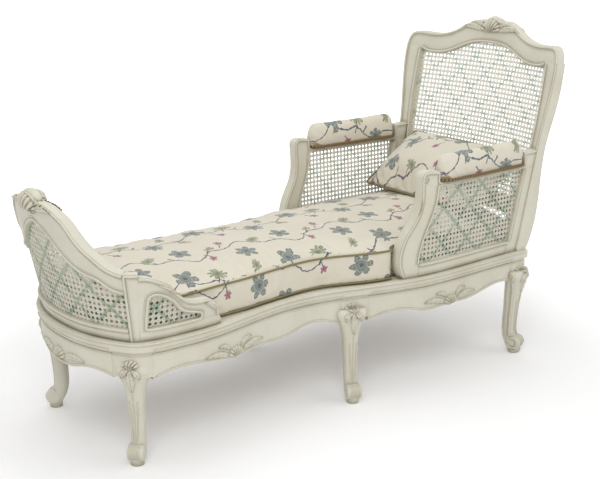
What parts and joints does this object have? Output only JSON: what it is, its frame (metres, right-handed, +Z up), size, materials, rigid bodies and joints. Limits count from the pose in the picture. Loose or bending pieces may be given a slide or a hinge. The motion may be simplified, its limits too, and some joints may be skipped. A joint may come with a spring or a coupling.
{
  "type": "recamier",
  "caption": "Cane-panelled daybed with a raised back and padded arms at the head, a low flared foot with side wings, scroll legs, a waisted loose seat cushion and a pillow.",
  "frame": {"origin": "on the floor, at the middle of the whole object's length and width", "axes": "+X along the length from the foot end to the head end with the back, +Y across towards the sitter's right, +Z up"},
  "size_m": [1.6602, 0.6504, 1.01],
  "materials": {
    "painted_wood": "antique cream paint over carved wood, worn and glazed in the recesses",
    "painted_cane": "woven cane painted off-white with a pale green lattice",
    "floral_fabric": "printed cotton, matt",
    "braid": "twisted brown cord",
    "webbing": "coarse jute",
    "deck_cloth": "plain linen over felt",
    "bare_wood": "bare planed wood",
    "steel": "plain wood screws"
  },
  "bodies": {
    "frame": {"arm_cane_left": "painted_cane", "arm_cane_right": "painted_cane", "arm_pad_braid_left": "braid", "arm_pad_braid_right": "braid", "arm_pad_left": "floral_fabric", "arm_pad_right": "floral_fabric", "arm_rail_left": "painted_wood", "arm_rail_right": "painted_wood", "arm_sill_left": "painted_wood", "arm_sill_right": "painted_wood", "arm_support_left": "painted_wood", "arm_support_right": "painted_wood", "arm_upright_left": "painted_wood", "arm_upright_right": "painted_wood", "back_cane": "painted_cane", "back_crest_rail": "painted_wood", "back_lower_rail": "painted_wood", "corner_block_screws": "steel", "corner_blocks": "bare_wood", "deck_cloth": "deck_cloth", "foot_leg_left": "painted_wood", "foot_leg_right": "painted_wood", "foot_rail": "painted_wood", "footboard_cane": "painted_cane", "footboard_crest_rail": "painted_wood", "footboard_post_left": "painted_wood", "footboard_post_right": "painted_wood", "footboard_sill": "painted_wood", "mid_leg_left": "painted_wood", "mid_leg_right": "painted_wood", "middle_cross_rail": "bare_wood", "rear_post_left": "painted_wood", "rear_post_right": "painted_wood", "rear_rail": "painted_wood", "seat_webbing": "webbing", "side_rail_foot_left": "painted_wood", "side_rail_foot_right": "painted_wood", "side_rail_head_left": "painted_wood", "side_rail_head_right": "painted_wood", "tenon_pegs": "bare_wood", "wing_cane_left": "painted_cane", "wing_cane_right": "painted_cane", "wing_rail_left": "painted_wood", "wing_rail_right": "painted_wood", "wing_sill_left": "painted_wood", "wing_sill_right": "painted_wood"},
    "cushion": {"seat_cushion": "floral_fabric"},
    "pillow": {"pillow": "floral_fabric"}
  },
  "joints": [
    {"name": "seat_cushion_lift", "type": "slide", "parent": "frame", "child": "cushion", "axis": [0, 0, 1], "range_m": [0, 0.3]},
    {"name": "pillow_lift", "type": "slide", "parent": "cushion", "child": "pillow", "axis": [0, 0, 1], "range_m": [0, 0.3]}
  ]
}
